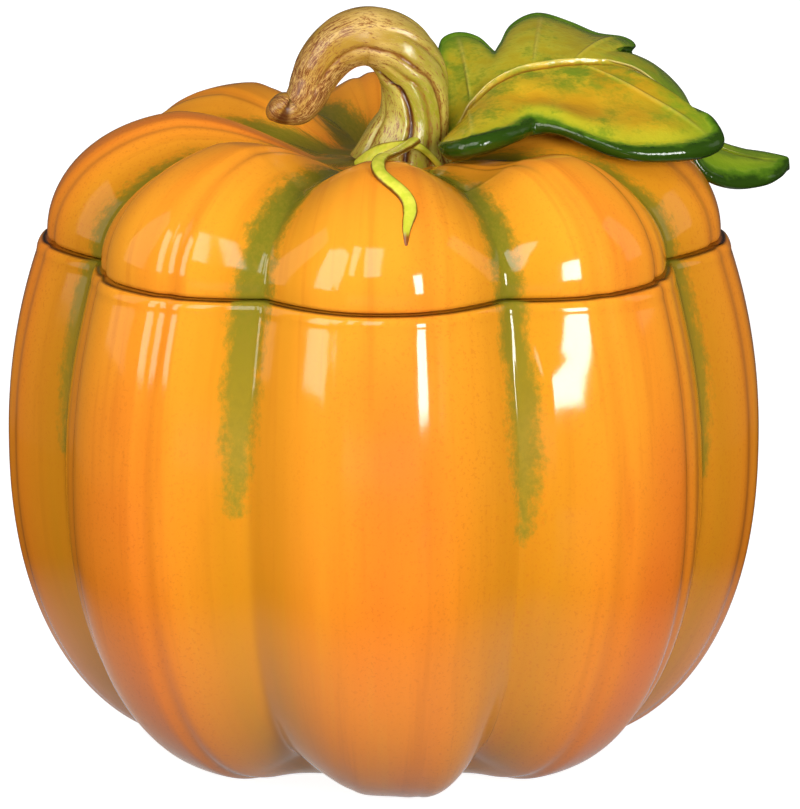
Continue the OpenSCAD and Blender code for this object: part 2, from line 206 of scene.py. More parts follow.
class Shader:
    """A node material, with short calls for the nodes used here."""

    def __init__(self, name):
        self.material = bpy.data.materials.new(name)
        self.material.use_nodes = True
        self.tree = self.material.node_tree
        self.tree.nodes.clear()

    def add(self, kind, **settings):
        node = self.tree.nodes.new("ShaderNode" + kind)
        for key, value in settings.items():
            setattr(node, key, value)
        return node

    def put(self, socket, value):
        """Link a socket to a node's output, or set it to a number or an sRGB hex code."""
        if hasattr(value, "is_linked"):
            self.tree.links.new(value, socket)
        elif value is not None:
            socket.default_value = linear(value) if isinstance(value, str) else value

    def math(self, op, a, b=None):
        node = self.add("Math", operation=op)
        for socket, value in zip(node.inputs, (a, b)):
            self.put(socket, value)
        return node.outputs[0]

    def mark(self, name, out="Fac"):
        """A value or vector that the mesh carries at each point."""
        return self.add("Attribute", attribute_name=name).outputs[out]

    def place(self, scale=(1, 1, 1), source=None):
        """Rest coordinates of the piece in metres, or another source, stretched by scale."""
        node = self.add("Mapping")
        source = source or self.add("TexCoord").outputs["Object"]
        self.put(node.inputs["Vector"], source)
        node.inputs["Scale"].default_value = scale
        return node.outputs[0]

    def noise(self, scale, detail=3.0, rough=0.5, source=None):
        """Noise with scale bumps per metre, along each axis if scale is a list of three."""
        node = self.add("TexNoise")
        self.put(node.inputs["Vector"], self.place(scale, source))
        for key, value in (("Scale", 1), ("Detail", detail), ("Roughness", rough)):
            node.inputs[key].default_value = value
        return node.outputs["Fac"]

    def step(self, value, low, high, to_low=0.0, to_high=1.0):
        """A soft step: to_low below low, to_high above high."""
        node = self.add("MapRange", interpolation_type="SMOOTHSTEP")
        for key, v in (("Value", value), ("From Min", low), ("From Max", high),
                       ("To Min", to_low), ("To Max", to_high)):
            self.put(node.inputs[key], v)
        return node.outputs[0]

    def blend(self, factor, a, b):
        node = self.add("Mix", data_type="RGBA")
        self.put(node.inputs["Factor"], factor)
        self.put(node.inputs[6], a)
        self.put(node.inputs[7], b)
        return node.outputs[2]

    def times(self, a, b):
        return self.math("MULTIPLY", a, b)

    def plus(self, a, b):
        return self.math("ADD", a, b)

    def swing(self, noise, amount):
        """How far a noise is from its middle, times amount."""
        return self.times(self.math("SUBTRACT", noise, 0.5), amount)

    def near(self, value, at, out, core):
        """1 within core of a place, falling to 0 at a distance out from it."""
        return self.step(self.math("ABSOLUTE", self.math("SUBTRACT", value, at)), out, core)

    def bump(self, height, distance):
        node = self.add("Bump")
        node.inputs["Distance"].default_value = distance
        self.put(node.inputs["Height"], height)
        return node.outputs[0]

    def finish(self, colour, roughness, normal=None, glow=None, **constants):
        node = self.add("BsdfPrincipled")
        self.put(node.inputs["Base Color"], colour)
        self.put(node.inputs["Roughness"], roughness)
        self.put(node.inputs["Normal"], normal)
        self.put(node.inputs["Emission Color"], glow)
        node.inputs["IOR"].default_value = GLASS_IOR
        for key, value in constants.items():
            node.inputs[key.replace("_", " ")].default_value = value
        out = self.add("OutputMaterial")
        self.tree.links.new(node.outputs[0], out.inputs[0])
        return self.material


GLASS_IOR = 1.5


def glaze_relief(s, depth=0.00012):
    """Relief of a poured glaze: slow waves with fine pinholes."""
    slow = s.noise([60] * 3, 2)
    fine = s.noise([900] * 3, 2)
    return s.bump(s.plus(slow, s.times(fine, 0.06)), depth)


def pumpkin_glaze():
    """Orange glaze, brushed from stem to foot, with sponged olive stripes along the grooves."""
    s = Shader("pumpkin_glaze")
    flow = s.mark("flow", "Vector")
    crest, height = s.mark("crest"), s.mark("height")
    streaks = s.noise((42, 42, 3.2), 4, 0.6, flow)
    fine_streaks = s.noise((170, 170, 9), 3, 0.65, flow)
    clouds = s.noise((9, 9, 5), 3, 0.55, flow)

    gold, orange, red, ochre_and_shade, seam_shadow = "#faa52a", "#fa9022", "#f07428", "#d28c18", "#180802"
    colour = s.blend(s.step(height, 0.15, 0.95), orange, gold)
    colour = s.blend(s.step(streaks, 0.35, 0.7, 0, 0.55), colour, orange)
    colour = s.blend(s.step(fine_streaks, 0.5, 0.8, 0, 0.35), colour, gold)
    colour = s.blend(s.step(fine_streaks, 0.5, 0.3, 0, 0.4), colour, "#e27e1e")
    # Redder along the crests; ochre down the sides of the ribs, partly the glaze's airbrushed
    # shading and partly painted shade that deepens towards the grooves
    warm = s.times(s.step(crest, 0.35, 1.0), s.step(clouds, 0.42, 0.66))
    colour = s.blend(s.times(warm, 0.75), colour, red)
    side = s.step(crest, 0.66, 0.08, 0, 0.9)
    colour = s.blend(s.times(side, s.step(streaks, 0.2, 0.75, 0.55, 1.0)), colour, ochre_and_shade)
    # Darker along the creases: reddish streaks of the glaze together with painted shade in the
    # creases
    colour = s.blend(s.times(s.mark("crease"), 0.2), colour, "#c4661a")
    specks = s.step(s.noise([1100] * 3, 2, 0.6), 0.57, 0.66)
    specks = s.times(specks, s.step(clouds, 0.38, 0.6, 0.15, 1.0))
    colour = s.blend(s.times(specks, 0.3), colour, "#d0601c")
    # Near-black painted shade in the joint where the jar and the lid meet
    colour = s.blend(s.mark("seam"), colour, seam_shadow)

    # Olive stripes with an edge broken up as a sponge leaves it, in millimetres
    sponge = s.noise((520, 520, 380), 5, 0.75, flow)
    coarse = s.noise((150, 150, 80), 3, 0.6, flow)
    edge = s.plus(s.mark("stripe"), s.swing(sponge, 9.0))
    edge = s.plus(edge, s.swing(coarse, 6.0))
    stripe = s.times(s.step(edge, -2.2, 2.6), s.mark("stripe_strength"))
    olive = s.blend(s.step(height, 0.5, 0.95), "#a68c26", "#6c7018")
    olive = s.blend(s.step(sponge, 0.4, 0.65, 0, 0.6), olive, "#8c7c22")
    colour = s.blend(stripe, colour, olive)
    rough = s.step(s.noise([45] * 3, 2), 0.3, 0.7, 0.07, 0.11)
    return s.finish(colour, rough, glaze_relief(s))


def cream_glaze():
    """Cream lining glaze with sparse brown specks."""
    s = Shader("lining_glaze")
    cloud = s.noise([30] * 3, 4, 0.55)
    colour = s.blend(s.step(cloud, 0.3, 0.75), "#f1e7d2", "#e6d9bf")
    specks = s.noise([330] * 3, 2)
    colour = s.blend(s.step(specks, 0.72, 0.77, 0, 0.55), colour, "#a98552")
    return s.finish(colour, s.step(cloud, 0.3, 0.7, 0.12, 0.2), glaze_relief(s, 0.0002))


def bare_clay():
    """Unglazed, grainy clay."""
    s = Shader("bisque")
    grain = s.noise([1400] * 3, 4, 0.7)
    cloud = s.noise([60] * 3)
    colour = s.blend(s.step(cloud, 0.3, 0.7), "#e3d4bc", "#d3bf9f")
    colour = s.blend(s.step(grain, 0.55, 0.75, 0, 0.5), colour, "#b79c78")
    return s.finish(colour, 0.85, s.bump(grain, 0.0003))


def stem_glaze():
    """Golden and olive ribs, stippled red-brown, darker brown in the grooves."""
    s = Shader("stem_glaze")
    flow, along = s.mark("flow", "Vector"), s.mark("along")
    scratch = s.noise((700, 700, 160), 5, 0.8, flow)
    fine = s.noise((1500, 1500, 520), 5, 0.8, flow)
    broad = s.noise((90, 90, 45), 3, 0.6, flow)
    uneven = s.step(broad, 0.38, 0.62)
    low = s.blend(uneven, "#9a9426", "#c0b250")
    high = s.blend(uneven, "#b48c34", "#d8b468")
    colour = s.blend(s.step(along, 0.2, 0.45), low, high)
    colour = s.blend(s.step(fine, 0.5, 0.62, 0, 0.6), colour, "#dcc070")
    # Red-brown stipple: strongest on the far side of the arch, the knob and the foot
    patch = s.plus(s.step(along, 0.4, 0.6), s.step(along, 0.05, 0.0, 0, 0.6))
    patch = s.plus(s.times(patch, 0.36), s.swing(broad, 1.5))
    patch = s.plus(patch, s.swing(fine, 4.6))
    patch = s.plus(patch, s.swing(scratch, 1.6))
    patch = s.plus(patch, s.step(along, 0.84, 0.92, 0, 0.16))
    colour = s.blend(s.step(patch, 0.05, 0.6, 0, 0.8), colour, "#86401a")
    colour = s.blend(s.step(patch, 0.5, 1.1, 0, 0.8), colour, "#5a240c")
    # Darker brown along the grooves of the stem
    groove_dark = s.plus(s.mark("groove"), s.swing(scratch, 0.6))
    groove_dark = s.plus(groove_dark, s.swing(fine, 0.9))
    colour = s.blend(s.step(groove_dark, 0.28, 0.7, 0, 0.8), colour, "#8a4c1c")
    colour = s.blend(s.step(groove_dark, 0.6, 0.95, 0, 0.9), colour, "#421a08")
    # Dark ring where the stem is pinched in behind the knob
    pinch = s.times(s.step(along, 0.865, 0.885), s.step(along, 0.92, 0.9))
    colour = s.blend(s.times(pinch, 0.8), colour, "#4a1c0c")
    rough = s.step(scratch, 0.4, 0.7, 0.05, 0.1)
    return s.finish(colour, rough, s.bump(scratch, 0.00012))


def leaf_glaze():
    """Ochre yellow heart, green towards the tip, and a dark green rolled edge with a painted
    highlight along it and painted shade under it.
    """
    s = Shader("leaf_glaze")
    mottle = s.noise([160] * 3, 4, 0.62)
    broad = s.noise([55] * 3, 3, 0.55)
    fine = s.noise([800] * 3, 3, 0.6)
    along, front = s.mark("along"), s.mark("front_side")
    inward = s.plus(s.mark("edge_in"), s.swing(mottle, 0.6))

    yellow = s.blend(s.step(broad, 0.35, 0.65), "#c89c1a", "#d2b428")
    pale = s.blend(s.step(mottle, 0.35, 0.65), "#c0ac24", "#c8bc34")
    colour = s.blend(front, pale, yellow)
    tip = s.plus(along, s.swing(mottle, 0.25))
    colour = s.blend(s.step(tip, 0.6, 0.82), colour, "#7f9c1c")
    colour = s.blend(s.step(inward, 1.5, 0.7, 0, 0.55), colour, "#a8b828")
    colour = s.blend(s.step(inward, 0.75, 0.3, 0, 0.85), colour, "#5f8614")
    blotch = s.plus(s.times(broad, 0.6), s.plus(s.times(mottle, 0.45), s.times(fine, 0.25)))
    colour = s.blend(s.step(blotch, 0.62, 0.8, 0, 0.8), colour, "#74901c")
    # On the front lobe: painted shade in orange along its valley, green mottling under the midrib
    # and at its tip
    across = s.plus(s.mark("across"), s.swing(broad, 0.3))
    inner = s.times(s.step(along, 0.24, 0.34), s.step(along, 0.62, 0.5))
    valley = s.times(front, s.times(s.near(across, 0.5, 0.24, 0.04), inner))
    colour = s.blend(s.times(valley, 0.5), colour, "#d8981a")
    under_rib = s.times(s.step(along, 0.36, 0.48), s.step(mottle, 0.4, 0.6))
    under_rib = s.times(s.near(across, 0.24, 0.18, 0.06), under_rib)
    colour = s.blend(s.times(s.times(front, under_rib), 0.65), colour, "#7c9420")
    lobe_tip = s.times(s.step(across, 0.38, 0.72), s.step(along, 0.5, 0.6))
    lobe_tip = s.times(front, s.times(lobe_tip, s.step(mottle, 0.25, 0.6, 0.4, 1.0)))
    colour = s.blend(s.times(lobe_tip, 0.8), colour, "#7c9c1c")
    back_edge = s.times(s.math("SUBTRACT", 1.0, front), s.step(inward, 1.5, 0.4))
    back_edge = s.times(back_edge, s.step(mottle, 0.3, 0.6, 0.45, 1.0))
    colour = s.blend(s.times(back_edge, 0.9), colour, "#648a16")
    colour = s.blend(s.times(s.mark("vein"), 0.7), colour, "#e2cc6c")
    colour = s.blend(s.times(s.mark("vein_side"), 0.9), colour, "#83400f")
    # The rolled edge, dark green glaze, with a painted highlight along its inner side and painted
    # shade darkening it round towards its underside
    rim = s.math("SUBTRACT", inward, s.times(s.mark("roll"), 1.9))
    rim_highlight = s.times(s.step(rim, -0.02, 0.04), s.step(rim, 0.16, 0.08))
    colour = s.blend(s.times(rim_highlight, 0.15), colour, "#a9b848")
    colour = s.blend(s.step(rim, 0.16, -0.08), colour, "#557c14")
    colour = s.blend(s.step(rim, -0.04, -0.26), colour, "#2a460a")
    # Darkest on the underside: dark green glaze with painted shade
    colour = s.blend(s.step(s.mark("under"), 0.3, 0.8), colour, "#243606")
    return s.finish(colour, s.step(fine, 0.3, 0.7, 0.08, 0.16), s.bump(mottle, 0.0004))


def tendril_glaze():
    """Lime green strap with a brown line painted along both its edges."""
    s = Shader("tendril_glaze")
    cloud = s.noise([260] * 3, 3, 0.6)
    colour = s.blend(s.step(cloud, 0.35, 0.65), "#e6e150", "#cdd43a")
    colour = s.blend(s.step(s.mark("tip"), 0.6, 0.9, 0, 0.6), colour, "#b4b82c")
    line = s.plus(s.mark("outline"), s.swing(cloud, 0.25))
    colour = s.blend(s.step(line, 0.7, 0.95), colour, "#7a4a12")
    colour = s.blend(s.step(s.mark("tip"), 0.87, 0.93), colour, "#8a4c14")
    return s.finish(colour, s.step(cloud, 0.3, 0.7, 0.08, 0.14), glaze_relief(s))


def pale_floor():
    """Plain floor that glows a little, so that it stays white under soft light."""
    s = Shader("floor")
    grain = s.noise([40] * 3, 2)
    colour = s.blend(s.step(grain, 0.3, 0.7), "#a0a0a0", "#9c9c9c")
    return s.finish(colour, 0.6, Emission_Color=(1, 1, 1, 1), Emission_Strength=0.95)


def mirrored_floor():
    """The part of the floor that the glaze mirrors: pale near the jar, fading to dark."""
    s = Shader("mirrored_floor")
    away = s.add("VectorMath", operation="LENGTH")
    s.put(away.inputs[0], s.place())
    colour = s.blend(s.step(away.outputs["Value"], 0.12, 0.24), "#d8d8d8", "#1c1c1c")
    return s.finish(colour, 0.7, glow=colour, Emission_Strength=0.75)


PUMPKIN, CREAM, CLAY = pumpkin_glaze(), cream_glaze(), bare_clay()
STEM, LEAF, LIME = stem_glaze(), leaf_glaze(), tendril_glaze()

# ---------------------------------------------------------------- ribs of the jar and lid

COLUMNS_PER_RIB = 60
GROOVE_ROUND = 0.04      # share of a half rib over which the groove's bottom is rounded
PANEL_SHARE = 0.7        # how far a rib's section leans from a parabola to three flat panels
# Creases of each rib: (place across the rib, depth in mm) on its left and on its right
CREASES = [[(-0.54, 1.0), (0.30, 1.1)], [(-0.36, 0.25), (0.36, 0.35)], [(-0.31, 0.8), (0.38, 1.5)]]
CREASES += [[(-0.36, 0.9), (0.32, 0.9)]] * 5
CREASE_WIDTH = 0.065
# Hand-made waves: how many go round the jar, and their turn over each WAVE_HEIGHT of height
RIB_WAVES = [(2, 1.1), (3, -0.9), (5, 0.7), (4, 1.7), (7, -1.3), (9, 0.8)]
WAVE_HEIGHT = 30
SEAM_LINE = 0.3          # half width of the painted shade line where the jar and the lid meet


def rib_columns():
    """Azimuth, rib number and signed place across the rib of every column, dense at the grooves."""
    v = np.linspace(-1, 1, COLUMNS_PER_RIB, endpoint=False)
    p = np.sign(v) * (1 - (1 - np.abs(v)) ** 1.35)
    ends = np.append(GROOVE_AZ, GROOVE_AZ[0] + 360)
    az = np.concatenate([mix(ends[i], ends[i + 1], (p + 1) / 2) for i in range(RIBS)])
    return az, np.repeat(np.arange(RIBS), COLUMNS_PER_RIB), np.tile(p, RIBS)


AZ, RIB, ACROSS = rib_columns()
SIN, COS = np.sin(np.radians(AZ)), np.cos(np.radians(AZ))


def panel_table(side, start, width, late):
    """Section of a rib made of three gently bowed panels, from its slopes."""
    x = np.linspace(0, 1, 400)
    slope = 0.30 * x + side * soft((x - start) / width) + late * soft((x - 0.8) / 0.12)
    h = np.cumsum(slope)
    return x, (h - h[0]) / (h[-1] - h[0])


PANELS = panel_table(1.35, 0.16, 0.34, 0.0)
# The left side of the rib to the right of the front one is flatter, above a steeper groove
FLAT_PANELS, FLAT_RIB = panel_table(0.75, 0.2, 0.3, 2.4), 2


def groove_share(p, panels, share):
    """Depth across a rib: 0 on its crest and 1 in the groove, whose bottom is rounded."""
    x = np.abs(p)
    x = 1 - (np.sqrt((1 - x) ** 2 + GROOVE_ROUND ** 2) - GROOVE_ROUND * 0.6)
    x = np.clip(x, 0, 1)
    return mix(x * x, np.interp(x, *panels), share)


def crease_share():
    total = np.zeros(len(ACROSS))
    for k in range(RIBS):
        for place, depth in CREASES[k]:
            total += np.where(RIB == k, bell(ACROSS, place, CREASE_WIDTH) * depth, 0)
    return total


GROOVE_AT = groove_share(ACROSS, PANELS, PANEL_SHARE)
FLATTER = np.where((RIB == FLAT_RIB) & (ACROSS < 0),
                   groove_share(ACROSS, FLAT_PANELS, 1.0) - GROOVE_AT, 0)
CREASE_AT = crease_share()
BULGE_AT = bell(ACROSS, SWELL_AT, SWELL_WIDE)


class Profile:
    """Rows of a ribbed surface, from the bottom up: where each is and how it is shaped.

    The grooves are pushed in against the row's normal, or level where sideways is 1. flat is
    how far the left side of one rib takes its flatter section.
    """

    def __init__(self, points, groove, crease, dip=0, sideways=None, swell=0, flat=0):
        self.q = np.asarray(points, float)
        t = np.gradient(self.q, axis=0)
        n = unit(np.stack([t[:, 1], -t[:, 0]], 1))
        if sideways is not None:
            n = unit(mix(n, np.array([1.0, 0.0]), np.asarray(sideways)[:, None]))
        self.n = n
        ones = np.ones(len(self.q))
        self.groove, self.crease = groove * ones, crease * ones
        self.dip, self.swell, self.flat = dip * ones, swell * ones, flat * ones

    def rows(self, uneven=0.0, seed=1):
        """Points of the surface; uneven is the height of its hand-made waves."""
        full = 1 - ACROSS ** 2
        groove = GROOVE_AT + self.flat[:, None] * FLATTER
        s = self.groove[:, None] * groove + self.crease[:, None] * CREASE_AT
        s = s - self.swell[:, None] * RIB_SWELL[RIB] * BULGE_AT
        if uneven:
            z = self.q[:, 1][:, None] / WAVE_HEIGHT
            waves = ripple(seed, RIB_WAVES, np.radians(AZ)[None, :], z)
            s = s + uneven * waves * (self.groove / GROOVE)[:, None]
        r = self.q[:, 0][:, None] - self.n[:, 0][:, None] * s
        z = self.q[:, 1][:, None] - self.n[:, 1][:, None] * s
        z = z - self.dip[:, None] * RIB_DIP[RIB] * full
        return np.stack([r * SIN, -r * COS, z], -1)


def arc_length(q):
    """Distance along a line of points, from its first."""
    return np.concatenate([[0], np.cumsum(np.linalg.norm(np.diff(q, axis=0), axis=1))])


# Stripes of olive glaze along the grooves: half width, offset across the groove and the height
# at which the stripe has run out, in millimetres, and how strongly it is painted
STRIPES = {0: (4.6, 0.0, 100, 0.85), 1: (5.2, -3.2, 96, 0.95), 2: (4.4, 0.6, 88, 0.95),
           3: (4.4, 0.5, 93, 0.85), 4: (4.6, 0, 95, 0.9), 5: (5, 0, 89, 0.9), 6: (4.6, 0, 98, 0.9),
           7: (4.8, 0, 92, 0.9)}
WIDE_STRIPES = (0, 6, 7)     # these grow wider towards the stem, the others narrower


def stripe_marks(points):
    """Distance inside the nearest stripe's edge in millimetres, and how strong it is painted."""
    r = np.hypot(points[..., 0], points[..., 1])
    az = np.degrees(np.arctan2(points[..., 0], -points[..., 1]))
    best = np.full(r.shape, -99.0)
    strength = np.zeros(r.shape)
    z = points[..., 2]
    for k, (half, offset, end, power) in STRIPES.items():
        away = (az - GROOVE_AZ[k] + 180) % 360 - 180
        side = np.radians(away) * r - offset * soft((r - 60) / 40)
        run = np.clip((z - end) / 34, 0, 1) ** 0.55
        near_stem = 1.6 if k in WIDE_STRIPES else 0.75
        width = half * run * mix(near_stem, 1.0, soft((r - 25) / 45))
        inside = width - np.abs(side) - 6 * (1 - soft((z - end + 4) / 8))
        strength = np.where(inside > best, power, strength)
        best = np.maximum(best, inside)
    return best, strength


def ribbed_marks(points, flow_z, seam):
    """What the pumpkin glaze is painted by; flow_z is each row's distance along the rib."""
    shape = points.shape[:2]
    flow = np.stack([JAR_R * np.broadcast_to(SIN, shape), -JAR_R * np.broadcast_to(COS, shape),
                     np.broadcast_to(flow_z[:, None], shape)], -1) * MM
    stripe, strength = stripe_marks(points)
    return {"flow": flow, "stripe": stripe, "stripe_strength": strength,
            "crest": np.broadcast_to(1 - np.abs(ACROSS), shape),
            "crease": np.broadcast_to(np.clip(CREASE_AT / 1.2, 0, 1), shape),
            "height": points[..., 2] / 200,
            "seam": np.broadcast_to(seam[:, None], shape)}


def with_poles(marks):
    """The marks of a grid of points, with those of the two poles of its shell added."""
    out = {}
    for key, v in marks.items():
        v = v.reshape(-1, 3) if v.ndim == 3 else v.reshape(-1)
        out[key] = np.concatenate([v, v[:1], v[-1:]])
    return out


# ---------------------------------------------------------------- jar


BASE_ROWS = 10           # rows of points under the base
JAR_EDGE_ROWS = 9        # rows of points on the soft edge at the seam
INNER_GROOVE = 0.9       # depth of the ribs inside, as a share of the depth outside


def base_fade(r):
    return soft((r - 40) / 30)


def swell_share(q):
    return soft((q[:, 0] - 56) / 12) * (1 - soft((q[:, 1] - 5) / 50))


def belly(a, off):
    """Jar below its widest place, a = 90 at the base; off is the depth under the surface."""
    a = np.radians(a)
    return np.stack([BASE_R + (JAR_R - BASE_R - off) * np.cos(a),
                     BELLY_Z - (BELLY_Z - FOOT_H - off) * np.sin(a) ** 0.89], -1)


def shoulder(s, off):
    """Jar above its widest place, s = 1 where the soft edge starts."""
    s = np.asarray(s, float)
    return np.stack([JAR_R - off - 9.2 * s ** 2.1,
                     BELLY_Z + s * (SEAM_Z - EDGE_SOFT - BELLY_Z)], -1)


def jar_profiles():
    flat_r = np.linspace(FOOT_R - 4, BASE_R, BASE_ROWS)
    base = np.stack([flat_r, np.full(BASE_ROWS, FOOT_H)], -1)
    low = belly(np.linspace(88, 1.2, 66), 0)
    up = np.linspace(0, 1, 36)
    high = shoulder(up, 0)
    edge_r = high[-1, 0]
    turn = np.radians(np.linspace(12, 90, JAR_EDGE_ROWS))
    edge = np.stack([edge_r - 2.6 * (1 - np.cos(turn)),
                     SEAM_Z - EDGE_SOFT + EDGE_SOFT * np.sin(turn)], -1)
    q = np.concatenate([base, low, high, edge, [[edge_r - 4.4, SEAM_Z]]])
    top = np.ones(JAR_EDGE_ROWS + 1)
    fade = np.concatenate([base_fade(flat_r), base_fade(low[:, 0]), np.ones(len(high)), top])
    sideways = np.concatenate([np.zeros(BASE_ROWS + len(low)), soft((up - 0.72) / 0.28), top])
    swell = np.where(q[:, 1] < BELLY_Z, swell_share(q), 0)
    flat = soft((SEAM_Z - 5 - q[:, 1]) / 20) * soft((q[:, 1] - 40) / 40)
    outer = Profile(q, fade * GROOVE, fade * (q[:, 0] > BASE_R), sideways=sideways, swell=swell,
                    flat=flat)
    floor = np.stack([np.linspace(38, 54, 6), np.full(6, FOOT_H + WALL)], -1)
    inner_q = np.concatenate([floor, belly(np.linspace(86, 2, 26), WALL),
                              shoulder(np.linspace(0, 0.74, 10), WALL)])
    inner_fade = np.where(inner_q[:, 1] < BELLY_Z, base_fade(inner_q[:, 0]), 1)
    return outer, Profile(inner_q, INNER_GROOVE * inner_fade * GROOVE, 0)


def ring(r, z, groove=0.0):
    """A level ring of points, drawn in at the grooves by the given depth."""
    r = r - groove * GROOVE_AT
    return np.stack([r * SIN, -r * COS, np.full(len(SIN), float(z))], -1)


def jar_body():
    outer, inner = jar_profiles()
    outside, inside = outer.rows(uneven=0.35, seed=3), inner.rows()[::-1]
    neck = np.stack([ring(MOUTH_R + 4, SEAM_Z), ring(MOUTH_R + 4, SEAM_Z - 4),
                     ring(MOUTH_R + 4, SEAM_Z - NECK_H),
                     ring(MOUTH_R + 12, SEAM_Z - NECK_H - 6, groove=4)])
    rows = np.concatenate([outside, neck, inside])
    points, faces = shell(rows)
    count = len(outside)
    lining = (faces[0].min(1) >= count * len(AZ)).astype(int)
    arc = np.concatenate([arc_length(outer.q), np.zeros(len(rows) - count)])
    seam = np.zeros(len(rows))
    edge = slice(count - 1 - JAR_EDGE_ROWS, count - 1)
    seam[edge] = bell(outer.q[edge, 1], SEAM_Z, SEAM_LINE)
    marks = with_poles(ribbed_marks(rows, arc, seam))
    return build("jar_shell", points, faces, [PUMPKIN, CREAM], "jar", "jar_body",
                 marks, [lining, 0, 1])


# ---------------------------------------------------------------- lid


LID_EDGE_ROWS = 8        # rows of points on the rounded lower edge
LID_FLOW = 200           # the brushed streaks of the lid start this far on from the jar's


def lid_profile(u, off):
    """Profile of the lid, u = 0 at the stem and 1 at the seam; off is the depth under it."""
    u = np.asarray(u, float)
    top = math.acos((LID_TOP_R - LID_MID_R) / (LID_R - LID_MID_R))
    r = mix(DIMPLE_R, LID_TOP_R, np.clip(u, 0, 0.4) / 0.4)
    rise = np.sin(np.radians(90 * (r - DIMPLE_R) / (LID_TOP_R - DIMPLE_R))) ** 1.1
    hollow = np.stack([r, SEAM_Z + mix(DIMPLE_H, DOME_H, rise) - off], -1)
    a = top * (1 - (np.clip(u, 0.4, 1) - 0.4) / 0.6)
    w = (DOME_H - 2) / math.sin(top)
    dome = np.stack([LID_MID_R + (LID_R - LID_MID_R - off) * np.cos(a),
                     SEAM_Z + 2 + (w - off) * np.sin(a)], -1)
    return np.where((u < 0.4)[..., None], hollow, dome)


def lid_fade(r):
    return soft((r - 16) / 46)


def dip_share(r):
    return np.where((r < 24) | (r > 78), 0, np.sin(np.radians(180 * (r - 24) / 54)) ** 2)


def lid_profiles():
    top = lid_profile(np.linspace(1, 0, 84), 0)
    turn = np.radians(np.linspace(90, 12, LID_EDGE_ROWS))
    edge = np.stack([LID_R - 1.6 * (1 - np.cos(turn)), SEAM_Z + 2 - 1.7 * np.sin(turn)], -1)
    q = np.concatenate([[[LID_R - 3.4, LID_Z]], edge, top])
    below = np.ones(1 + LID_EDGE_ROWS)
    fade = np.concatenate([below, lid_fade(top[:, 0])])
    sideways = np.concatenate([below, 1 - soft(np.arange(len(top)) / 9)])
    dip = np.concatenate([0 * below, dip_share(top[:, 0])])
    outer = Profile(q, fade * GROOVE, fade, dip, sideways)
    inner_q = lid_profile(np.linspace(0.93, 0, 34), WALL)
    fade_in = lid_fade(inner_q[:, 0])
    inner = Profile(inner_q, fade_in * GROOVE, 0, dip_share(inner_q[:, 0]))
    return outer, inner


def lid_shell():
    outer, inner = lid_profiles()
    outside, inside = outer.rows(uneven=0.3, seed=5), inner.rows()[::-1]
    flange_r = MOUTH_R - LID_PLAY
    under = np.stack([ring(flange_r + 6, LID_Z + 7, groove=5), ring(flange_r - 5, LID_Z + 4),
                      ring(flange_r - 5, LID_Z)])
    rows = np.concatenate([inside, under, outside])
    points, faces = shell(rows)
    count = len(inside) + len(under)
    lining = (faces[0].min(1) < count * len(AZ)).astype(int)
    arc = np.concatenate([np.zeros(count), LID_FLOW + arc_length(outer.q)])
    seam = np.zeros(len(rows))
    edge = slice(count + 1, count + 1 + LID_EDGE_ROWS)
    seam[edge] = bell(outer.q[1:1 + LID_EDGE_ROWS, 1], LID_Z, SEAM_LINE)
    marks = with_poles(ribbed_marks(rows, arc, seam))
    return build("lid_dome", points, faces, [PUMPKIN, CREAM], "lid", "lid_shell",
                 marks, [lining, 1, 0])


# ---------------------------------------------------------------- turned rings


def rounded(corners, radius, steps=4):
    """A closed outline with its corners rounded."""
    p = np.asarray(corners, float)
    out = []
    for i in range(len(p)):
        a, b, c = p[i - 1], p[i], p[(i + 1) % len(p)]
        ra = min(radius, np.linalg.norm(a - b) / 2.2)
        rc = min(radius, np.linalg.norm(c - b) / 2.2)
        u, v = b + unit(a - b) * ra, b + unit(c - b) * rc
        for k in range(steps + 1):
            t = k / steps
            out.append((1 - t) ** 2 * u + 2 * t * (1 - t) * b + t * t * v)
    return np.array(out)


def turned(name, corners, material, body, replaced, radius, around=192):
    """A ring turned from an outline of (radius, height) corners."""
    q = rounded(corners, radius)
    a = np.linspace(0, 2 * math.pi, around, endpoint=False)
    points = np.stack([q[:, 0][:, None] * np.sin(a), -q[:, 0][:, None] * np.cos(a),
                       np.broadcast_to(q[:, 1][:, None], (len(q), around))], -1)
    faces = grid_faces(len(q) + 1, around) % (len(q) * around)
    return build(name, points.reshape(-1, 3), [faces], [material], body, replaced, sharp=60)


def box_outline(r0, r1, z0, z1):
    return [[r0, z0], [r1, z0], [r1, z1], [r0, z1]]


def rings():
    bite = 0.6           # how far a ring reaches into the shell that it is joined to
    turned("mouth_seat", box_outline(MOUTH_R, MOUTH_R + 4 + bite, SEAM_Z - NECK_H, LID_Z - 0.05),
           CREAM, "jar", "jar_rim", 0.9)
    turned("standing_ring", box_outline(FOOT_R - 8, FOOT_R, 0, FOOT_H + bite),
           CLAY, "jar", "foot_ring", 0.5)
    outer = MOUTH_R - LID_PLAY
    turned("locating_ring", box_outline(outer - 4, outer, LID_Z - FLANGE_DROP, LID_Z + bite),
           CREAM, "lid", "lid_flange", 1.4)


# ---------------------------------------------------------------- stem

# Heights of everything on the lid are given above the seam
STEM_PATH = [
    [6, 0, 23.4, 16.4], [7, 0, 29.5, 13.4], [9, 0, 37, 10.9], [9.5, 0, 45, 10.3],
    [8.5, 0, 51.5, 10.4], [5, -1, 57.5, 10], [0.5, -1, 61, 9.5], [-5, -1, 62.5, 9.1],
    [-10.5, -2, 61.5, 8.7], [-15, -2, 58.5, 8.2], [-19, -3, 54, 7.6], [-21.5, -3, 49, 6.9],
    [-23.5, -4, 44.5, 6.2], [-26.2, -4, 41, 5.5], [-29.4, -5, 40.2, 4.3], [-31.6, -5, 41.4, 5.1],
    [-34.2, -5, 43.6, 4.6]]
STEM_TWIST = 76.0        # degrees that the grooves turn between the trunk and the arch
